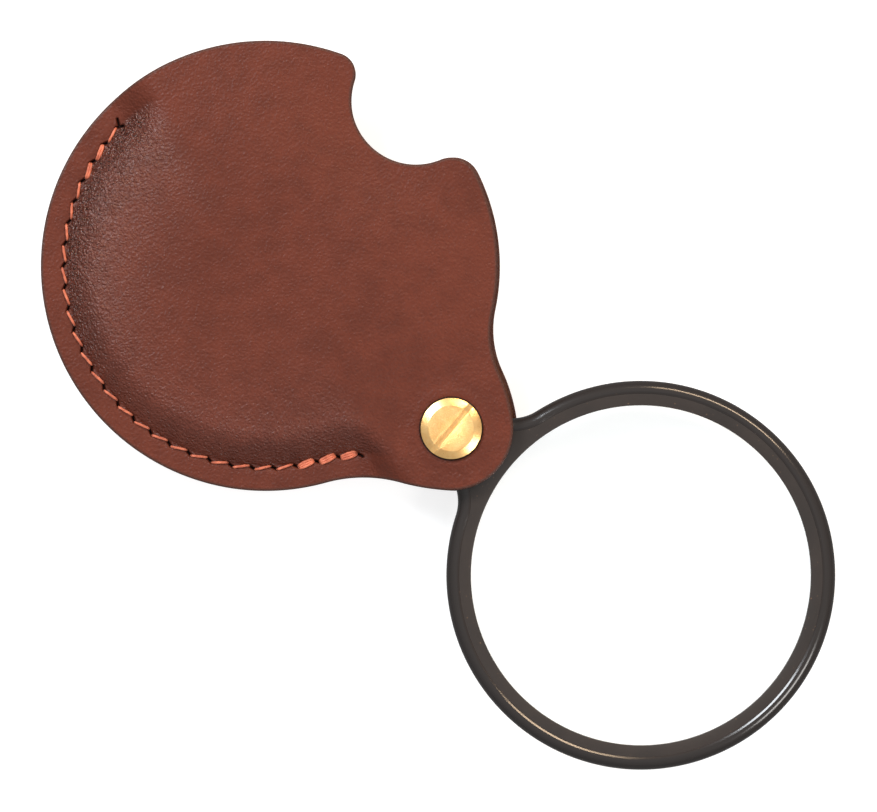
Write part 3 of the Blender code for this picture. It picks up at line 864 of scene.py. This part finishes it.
def outer_details(points):
    """Height that sewing, creasing and the screw add to the outer face, and its crease and slit shares."""
    u, v = seam_coordinates(points)
    sewn = ease((u + 0.5 * SEWN_FADE) / SEWN_FADE) * ease((SEAM_LENGTH - u + 0.5 * SEWN_FADE) / SEWN_FADE)
    sewn *= seam_weight(points)
    period = np.cos(FULL_TURN * u / PITCH)
    groove = bump(v / GROOVE_WIDTH) * (STITCH_GROOVE + STITCH_PULL * period)
    sunk, lip = slits_at(points)
    fall = np.exp(-np.maximum(v - CREASE_PEAK, 0.0) / CREASE_TAIL)
    inside = ease((v - CREASE_FROM) / SEWN_FADE) * fall * sewn
    upper = LOWER_SHARE + (1.0 - LOWER_SHARE) * ease((UPPER_UNTIL - u) / UPPER_FADE)
    wrinkle = np.zeros(len(points))
    near = np.nonzero(inside > 0.02)[0]
    along = np.column_stack((u[near] / WRINKLE_LENGTH, v[near] / WRINKLE_WIDTH))
    wrinkle[near] = 1.0 - 2.2 * np.abs(noise_at(along, 3.7)) + 0.5 * noise_at(along * 2.3, 9.1)
    height = -groove * sewn + lip * LIP_HEIGHT - sunk * SLIT_SINK
    height += wrinkle * inside * upper * CREASE_DEPTH - period * inside * PUCKER_DEPTH
    height += SWAY * noise_at(points / SWAY_LENGTH, 1.3) * (1.0 - near_pivot(points))
    ring = lengths(points)
    height += HEAD_BULGE * bump((ring - HEAD_BULGE_AT) / HEAD_BULGE_WIDTH)
    fading = np.exp(-np.maximum(v - GRAIN_PEAK, 0.0) / GRAIN_FADE)
    worked = ease((v - GRAIN_FROM) / GRAIN_RISE) * fading * seam_weight(points)
    return height, worked * upper, sunk


def open_pivot_hole(obj):
    """Cuts the round hole for the barrel through both faces of a panel and joins its edges."""
    bm = bmesh.new()
    bm.from_mesh(obj.data)
    inside = [vert for vert in bm.verts if vert.co.xy.length < PIVOT_HOLE]
    bmesh.ops.delete(bm, geom=inside, context="VERTS")
    rim = [edge for edge in bm.edges if edge.is_boundary]
    for vert in {vert for edge in rim for vert in edge.verts}:
        vert.co.xy = vert.co.xy.normalized() * PIVOT_HOLE
    bmesh.ops.bridge_loops(bm, edges=rim)
    bmesh.ops.triangulate(bm, faces=[face for face in bm.faces if len(face.verts) > 4])
    bm.to_mesh(obj.data)
    bm.free()


EDGE_WORN = 0.0002
EDGE_WORN_FADE = 0.0003


def make_panel(name, shape, side, material):
    edge, normal = panel_spokes(shape)
    rings = panel_rings()
    places = ring_points(edge, normal, rings)
    counts, *columns = zip(*rings)
    inset, share, face, drop = (np.repeat(column, counts) for column in columns)
    outer = face == 1.0
    height = mix(inner_height(places), outer_height(places), face) - drop
    crease, slit = np.zeros((2, len(places)))
    added, crease[outer], slit[outer] = outer_details(places[outer])
    height[outer] += added
    worn = 1.0 - ease((inset + share - EDGE_WORN) / EDGE_WORN_FADE) * outer
    points = np.column_stack((places, MIDDLE + side * height))
    values = {"crease": crease, "slit": slit, "edge": worn}
    obj = mesh_object(name, points, ring_faces(counts), material, values)
    open_pivot_hole(obj)
    return finish_mesh(obj)


LINING_INSET = 0.0006
LINING_PAST = math.radians(7.0)
LINING_RETREAT = 2.0
LINING_LAST = 0.0100


def lining_height(points):
    """Height of a lining's face on the leather side."""
    return inner_height(points) - mix(LINING_GAP, LAYER_GAP, near_pivot(points))


def lining_spokes(shape):
    """Outline points, the ways from them to the case's centre, and how far in the lining starts."""
    edge = panel_spokes(shape)[0]
    first = mix(LINING_INSET, LINING_LAST, np.minimum(LINING_RETREAT * seam_weight(edge, LINING_PAST), 1.0))
    return edge, unit(CASE_CENTRE - edge), first


def lining_outline(shape):
    edge, spoke, first = lining_spokes(shape)
    return edge + spoke * first[:, None]


def make_lining(name, shape, side, material):
    """A thin sheet under the leather, short of its free edges and well short of the seam."""
    edge, spoke, first = lining_spokes(shape)
    inner = [(160, 0.08), (160, 0.18), (160, 0.30), (80, 0.45), (40, 0.60)]
    inner += [(20, 0.75), (10, 0.88), (5, 0.95), (1, 1.0)]
    rows = [(SPOKES // 4, row, 0.0) for row in np.linspace(0.0, 1.0, 9)]
    rows += [(count, 1.0, share) for count, share in inner]
    sheet, counts = [], [row[0] for row in rows]
    for count, row, share in rows:
        pick = every(count)
        place = edge[pick] + spoke[pick] * mix(first[pick], LINING_LAST, row)[:, None]
        sheet.append(mix(place, CASE_CENTRE, share))
    places = np.concatenate(sheet[::-1] + sheet)
    faces_up = np.repeat((1.0, 0.0), sum(counts))
    height = lining_height(places) - LINING * (1.0 - faces_up)
    points = np.column_stack((places, MIDDLE + side * height))
    obj = mesh_object(name, points, ring_faces(counts[::-1] + counts), material)
    open_pivot_hole(obj)
    return finish_mesh(obj, 60.0)


# Stitches -----

THREAD_SIDES = 14
THREAD_STEP = 0.00008
PLIES = 3
PLY_DEPTH = 0.16
TWIST_PITCH = 0.0011
DIVE = 0.00055
DIVE_BACK = 0.00002
SIDE_BY_SIDE = 0.00034


def tube(points, radii, twist):
    """Rings of a twisted three-ply strand along a line of points."""
    way = unit(np.gradient(points, axis=0))
    side = np.cross(way, (0.0, 0.0, 1.0))
    side /= np.maximum(lengths(side), 1e-9)[:, None]
    up = np.cross(side, way)
    turns = np.arange(THREAD_SIDES) * FULL_TURN / THREAD_SIDES
    lobes = 1.0 - PLY_DEPTH * (0.5 - 0.5 * np.cos(PLIES * (turns[None, :] - twist[:, None])))
    reach = radii[:, None] * lobes
    ring = (side[:, None, :] * np.cos(turns)[None, :, None] + up[:, None, :] * np.sin(turns)[None, :, None])
    return points[:, None, :] + ring * reach[:, :, None]


def smooth_path(knots, step):
    """A Catmull-Rom curve through the knots, in steps of about one length."""
    knots = np.asarray(knots)
    padded = np.vstack((2 * knots[0] - knots[1], knots, 2 * knots[-1] - knots[-2]))
    made = []
    for i in range(1, len(padded) - 2):
        a, b, c, d = padded[i - 1 : i + 3]
        count = max(2, math.ceil(lengths(c - b) / step))
        t = (np.arange(count) / count)[:, None]
        bend, twist = 2 * a - 5 * b + 4 * c - d, 3 * b - a - 3 * c + d
        made.append(0.5 * (2 * b + (c - a) * t + bend * t**2 + twist * t**3))
    return np.vstack((*made, knots[-1:]))


def stitch_knots(start, end, offset, lift):
    """A stitch from one slit's outer end to the next slit's inner end, diving into both."""
    first = SLIT_POINTS[start] + SLIT_WAYS[start] * SLIT_RUN
    last = SLIT_POINTS[end] - SLIT_WAYS[end] * SLIT_RUN
    way = unit(last - first)
    shares = np.array((0.02, 0.07, 0.16, 0.30, 0.50, 0.70, 0.84, 0.93, 0.98))
    raised = np.array((-0.00030, 0.00000, 0.00013, 0.00018, 0.00019, 0.00018, 0.00013, 0.00000, -0.00030))
    aside = leftward(way) * offset * np.sin(math.pi * shares)[:, None] ** 0.2
    flat = mix(first, last, shares[:, None]) + aside
    surface = outer_height(flat) - STITCH_GROOVE
    knots = np.column_stack((flat, surface + raised + lift))
    dive_in = np.append(first - way * DIVE_BACK, surface[0] - DIVE)
    dive_out = np.append(last + way * DIVE_BACK, surface[-1] - DIVE)
    return np.vstack((dive_in, knots, dive_out))


def stitch_passes():
    """Every visible pass of thread: (from slit, to slit, sideways offset, lift)."""
    passes = [(i, i + 1, 0.0, 0.0) for i in range(STITCHES)]
    passes += [(i, i + 1, SIDE_BY_SIDE, 0.00002) for i in (1, 2)]
    for offset, lift in ((SIDE_BY_SIDE, 0.00003), (-SIDE_BY_SIDE, 0.00001)):
        passes += [(i, i + 1, offset, lift) for i in range(STITCHES - 3, STITCHES)]
    return passes


def make_thread(name, side, material):
    rings, faces = [], []
    for start, end, offset, lift in stitch_passes():
        path = smooth_path(stitch_knots(start, end, offset, lift), THREAD_STEP)
        path[:, 2] = MIDDLE + side * path[:, 2]
        walked = running(lengths(np.diff(path, axis=0)))
        share = walked / walked[-1]
        radii = THREAD_RADIUS * (0.80 + 0.28 * np.sin(math.pi * share) ** 0.6)
        twist = walked * FULL_TURN / TWIST_PITCH / PLIES + start
        strand = tube(path, radii, twist)
        tips = [path[:1], *strand, path[-1:]]
        base = sum(len(ring) for ring in rings)
        counts = [len(tip) for tip in tips]
        faces += ring_faces(counts, base)
        rings += tips
    return finish_mesh(mesh_object(name, np.concatenate(rings), faces, material))


# Pivot -----

HEAD_STEPS = 160
EDGE_BREAK = 0.00006


def head_profile(sign, seat):
    """A screw head from its face to its seat: flat, bevel and rim, with broken edges."""
    rim = HEAD - HEAD_BEVEL_DROP
    corners = ((0.0, HEAD), (HEAD_FLAT_RADIUS, HEAD), (HEAD_RADIUS, rim), (HEAD_RADIUS, 0.0))
    softened = rounded(corners, (0.0, EDGE_BREAK, EDGE_BREAK, EDGE_BREAK))
    return [(radius, seat + sign * height) for radius, height in softened[:-1]] + [(HEAD_RADIUS, seat)]


def slot_cutter():
    """A bar across the head with a flared top, which leaves a shallow chamfer on both slot edges."""
    half = 0.5 * SLOT_WIDTH
    mouth = half + SLOT_CHAMFER
    section = [(-half, -SLOT_DEPTH), (half, -SLOT_DEPTH), (half, -SLOT_CHAMFER_DROP), (mouth, 0.0)]
    section += [(mouth, HEAD), (-mouth, HEAD), (-mouth, 0.0), (-half, -SLOT_CHAMFER_DROP)]
    reach = 1.5 * HEAD_RADIUS
    bm = bmesh.new()
    ends = [[bm.verts.new((x, y, z)) for y, z in section] for x in (-reach, reach)]
    for end in ends:
        bm.faces.new(end)
    for i in range(len(section)):
        j = (i + 1) % len(section)
        bm.faces.new((ends[0][i], ends[0][j], ends[1][j], ends[1][i]))
    bmesh.ops.recalc_face_normals(bm, faces=bm.faces)
    bmesh.ops.rotate(bm, verts=bm.verts, matrix=Matrix.Rotation(SLOT_ANGLE, 3, "Z"), cent=(0.0, 0.0, 0.0))
    mesh = bpy.data.meshes.new("slot")
    bm.to_mesh(mesh)
    bm.free()
    return mesh


def make_screw(material):
    seat = MIDDLE + HEAD_SEAT
    profile = head_profile(1.0, seat)
    foot = seat - SHANK_LENGTH
    profile += [(SHANK_RADIUS, seat), (SHANK_RADIUS, foot), (0.0, foot)]
    screw = turned("screw_brass", profile, HEAD_STEPS, material)
    cutter = link(bpy.data.objects.new("slot", slot_cutter()))
    cutter.location.z = seat + HEAD
    cut = screw.modifiers.new("slot", "BOOLEAN")
    cut.object = cutter
    soften = screw.modifiers.new("soften", "BEVEL")
    soften.width = EDGE_BREAK
    soften.segments = 3
    soften.limit_method = "ANGLE"
    soften.angle_limit = math.radians(50.0)
    applied(screw)
    bpy.data.objects.remove(cutter)
    return finish_mesh(screw, 40.0)


def make_nut(material):
    seat = MIDDLE - HEAD_SEAT
    tip = 2.0 * HEAD_SEAT - BARREL_TIP_GAP
    bore = tip - BARREL_BORE_DEPTH
    profile = [(0.0, seat + bore), (BARREL_BORE, seat + bore), (BARREL_BORE, seat + tip)]
    profile += [(BARREL_RADIUS, seat + tip), (BARREL_RADIUS, seat)]
    return turned("nut_brass", profile + head_profile(-1.0, seat)[::-1], HEAD_STEPS, material)


# Lens unit -----

FRAME_STEP = 0.00025
BEAD_WIDTH = 0.00155
BEAD_WALL = 0.00045
BEAD_STEPS = 12
BAND_HEIGHT = 0.00191
BAND_INSET = 0.00195
STEP_ROWS = 7
APERTURE_STEPS = 320
BORE_STEPS = 64


def frame_rows():
    """Section of the frame across its rim, as (inset, height, bead), from the front band to the back face."""
    rows = [(BAND_INSET, BAND_HEIGHT, 0.0), (BAND_INSET - 0.00004, BAND_HEIGHT, 0.0)]
    for i in range(1, STEP_ROWS):
        share = i / STEP_ROWS
        rows.append((mix(BAND_INSET, BEAD_WIDTH, share), mix(BAND_HEIGHT, LUG_HALF, share), share))
    bead = []
    for i in range(BEAD_STEPS + 1):
        turn = 0.5 * math.pi * i / BEAD_STEPS
        rise = (LUG_HALF - BEAD_WALL) * math.cos(turn)
        bead.append((BEAD_WIDTH * (1.0 - math.sin(turn)), BEAD_WALL + rise, 1.0))
    rows += [*bead, (0.0, 0.0, 1.0)]
    rows += [(inset, -height, 1.0) for inset, height, _ in reversed(bead)]
    rows.append((BEAD_WIDTH + 0.00006, -LUG_HALF, 0.0))
    return rows


def plate_faces(loops, starts):
    """Triangles that fill an outline with round holes; starts are the loops' first vertex numbers."""
    flat = np.concatenate(loops)
    numbers = np.concatenate([start + np.arange(len(loop)) for loop, start in zip(loops, starts)])
    owner = np.repeat(np.arange(len(loops)), [len(loop) for loop in loops])
    edges, first = [], 0
    for loop in loops:
        edges += [(first + i, first + (i + 1) % len(loop)) for i in range(len(loop))]
        first += len(loop)
    made, origins = delaunay_2d_cdt([Vector(p) for p in flat.tolist()], edges, [], 1, 1e-9)[2:4]
    faces = [[origins[v][0] for v in face] for face in made]
    solid = (face for face in faces if len(set(owner[face])) > 1 or owner[face[0]] == 0)
    return [[int(numbers[v]) for v in face] for face in solid]


def make_frame(material):
    outline = frame_outline(FRAME_STEP)
    normal = inward(outline)
    rows = frame_rows()
    rings = [at_height(outline + normal * inset, z) for inset, z, _ in rows]
    bead = [np.full(len(outline), shine) for *_, shine in rows]
    bore_steps = [(PIVOT_HOLE, BAND_HEIGHT), (PIVOT_HOLE, -LUG_HALF)]
    seat = [
        (APERTURE_RADIUS + 0.00015, BAND_HEIGHT), (APERTURE_RADIUS + 0.00004, BAND_HEIGHT - 0.00004),
        (APERTURE_RADIUS, BAND_HEIGHT - 0.00015), (APERTURE_RADIUS, SEAT_HEIGHT), (SEAT_RADIUS, SEAT_HEIGHT),
        (SEAT_RADIUS, -LUG_HALF + 0.00012), (SEAT_RADIUS + 0.00012, -LUG_HALF),
    ]
    loops = [circle(RING_CENTRE, radius, APERTURE_STEPS) for radius, _ in seat]
    bores = [circle(PIVOT, radius, BORE_STEPS) for radius, _ in bore_steps]
    rings += [at_height(loop, z) for loop, (_, z) in zip(loops + bores, seat + bore_steps)]
    bead += [np.zeros(len(loop)) for loop in loops + bores]
    counts = [len(ring) for ring in rings]
    starts = running(counts)
    first_seat, first_bore = len(rows), len(rows) + len(loops)
    faces = ring_faces(counts[:first_seat])
    faces += ring_faces(counts[first_seat:first_bore], starts[first_seat])
    faces += ring_faces(counts[first_bore:], starts[first_bore])
    for ends in ((0, first_seat, first_bore), (first_seat - 1, first_bore - 1, len(rings) - 1)):
        faces += plate_faces([rings[i][:, :2] for i in ends], [starts[i] for i in ends])
    points = np.concatenate(rings)
    points = np.column_stack((rotated(points[:, :2], OPEN_ANGLE), points[:, 2] + MIDDLE))
    obj = mesh_object("frame_moulding", points, faces, material, {"bead": np.concatenate(bead)})
    return finish_mesh(obj, 35.0)


def make_lens(material):
    """Equal-sided biconvex glass with a plain ground edge."""
    half_edge = 0.5 * LENS_EDGE
    sag = LENS_HALF - half_edge
    sphere = (LENS_RADIUS**2 + sag**2) / (2.0 * sag)
    radii = LENS_RADIUS * np.linspace(0.0, 1.0, 28)
    face = [(r, half_edge + sag - sphere + math.sqrt(sphere**2 - r**2)) for r in radii]
    profile = face + [(r, -z) for r, z in reversed(face)]
    lens = turned("glass", profile, 192, material, 30.0)
    lens.location = LENS_CENTRE
    return lens


def make_ring(material):
    corners = [(RING_OUTER, RING_TOP), (RING_OUTER, RING_BOTTOM), (RING_INNER, RING_BOTTOM)]
    corners.append((RING_INNER, RING_TOP))
    ring = turned("retaining_ring", rounded(corners, (0.0001,) * 4), 256, material)
    ring.location = (LENS_CENTRE.x, LENS_CENTRE.y, MIDDLE)
    return ring


# Studio -----

CAMERA_LENS = 500.0
CAMERA_SENSOR = 36.0
VIEW_WIDTH = 0.12916
VIEW_CENTRE = (-0.00187, 0.00331)
FLOOR_SIZE = 12.0
FLOOR_GAP = 0.00006


def make_camera():
    camera = bpy.data.cameras.new("camera")
    camera.lens = CAMERA_LENS
    camera.sensor_width = CAMERA_SENSOR
    camera.clip_start, camera.clip_end = 0.05, 50.0
    obj = link(bpy.data.objects.new("camera", camera))
    obj.location = (*VIEW_CENTRE, MIDDLE + VIEW_WIDTH * CAMERA_LENS / CAMERA_SENSOR)
    bpy.context.scene.camera = obj


def make_softbox(name, place, size, power, colour):
    light = bpy.data.lights.new(name, "AREA")
    light.shape = "RECTANGLE"
    light.size, light.size_y = size
    light.energy = power
    light.color = colour
    obj = link(bpy.data.objects.new(name, light))
    obj.visible_camera = False
    obj.location = place
    obj.rotation_euler = (-Vector(place)).to_track_quat("-Z", "Y").to_euler()


def make_world():
    world = bpy.data.worlds.new("studio")
    world.use_nodes = True
    tree = world.node_tree
    kinds = ("ShaderNodeTexCoord", "ShaderNodeSeparateXYZ", "ShaderNodeMapRange")
    place, split, ramp = (tree.nodes.new(kind) for kind in kinds)
    light = tree.nodes["Background"]
    for key, value in (("From Min", -0.05), ("To Min", 0.28), ("To Max", 0.70)):
        ramp.inputs[key].default_value = value
    tree.links.new(place.outputs["Generated"], split.inputs[0])
    tree.links.new(split.outputs["Z"], ramp.inputs["Value"])
    tree.links.new(ramp.outputs[0], light.inputs["Strength"])
    light.inputs["Color"].default_value = (0.97, 0.985, 1.0, 1.0)
    bpy.context.scene.world = world


def make_floor():
    """A pale sheet that can't be seen from below."""
    n = Nodes("floor")
    paper = n.noise(0.4, 2.0)
    n.set(Base_Color=n.blend(paper, (0.44, 0.44, 0.44), (0.46, 0.46, 0.46)))
    n.set(Roughness=0.9, Specular_IOR_Level=0.0, Emission_Color=(1.0, 1.0, 1.0), Emission_Strength=0.75)
    n.see_through(n.add("ShaderNodeNewGeometry").outputs["Backfacing"])
    half = 0.5 * FLOOR_SIZE
    corners = [(-half, -half, 0.0), (half, -half, 0.0), (half, half, 0.0), (-half, half, 0.0)]
    floor = mesh_object("floor", corners, [(0, 1, 2, 3)], n.material)
    floor.location.z = CAD_BOX[0].z - FLOOR_GAP
    floor.visible_glossy = False


def make_studio():
    make_camera()
    make_world()
    make_softbox("key", (-0.42, 0.42, 0.55), (0.26, 0.26), 5.4, (0.90, 0.95, 1.0))
    make_softbox("fill", (0.46, -0.36, 0.50), (0.26, 0.20), 2.1, (1.0, 0.97, 0.93))
    make_softbox("lamp", (0.30, 0.52, 0.50), (0.48, 0.085), 4.0, (1.0, 0.74, 0.50))
    make_floor()
    bpy.context.scene.view_settings.view_transform = "Standard"


# Assembly -----


def place(obj, body, slot, *nodes):
    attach(obj, body)
    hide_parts(*nodes)


def make_case():
    leather, suede, thread, brass = leather_material(), suede_material(), thread_material(), brass_material()
    for word, shape, side in (("front", FRONT_PANEL, 1), ("back", BACK_PANEL, -1)):
        panel = make_panel(f"leather_{word}", shape, side, leather)
        place(panel, "case", "brown_leather", f"case_{word}_leather")
        case_outline(**shape)
        lining = make_lining(f"lining_{word}", shape, side, suede)
        place(lining, "case", "suede", f"case_{word}_lining")
        lining_outline(shape)
    for word, side in (("needle", 1), ("bobbin", -1)):
        stitches = make_thread(f"stitches_{word}", side, thread)
        place(stitches, "case", "brown_thread", f"{word}_thread")
    place(make_screw(brass), "case", "brass", "pivot_screw")
    place(make_nut(brass), "case", "brass", "pivot_post")
    nylon = nylon_material()
    for name in ("front_washer", "back_washer"):
        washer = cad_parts[name]
        washer.data.materials.clear()
        washer.data.materials.append(nylon)


def make_lens_unit():
    plastic, glass = frame_material(), glass_material()
    place(make_frame(plastic), "lens_unit", "dark_plastic", "lens_frame")
    place(make_ring(plastic), "lens_unit", "dark_plastic", "lens_retaining_ring")
    place(make_lens(glass), "lens_unit", "clear_glass", "lens")


make_studio()
make_case()
make_lens_unit()
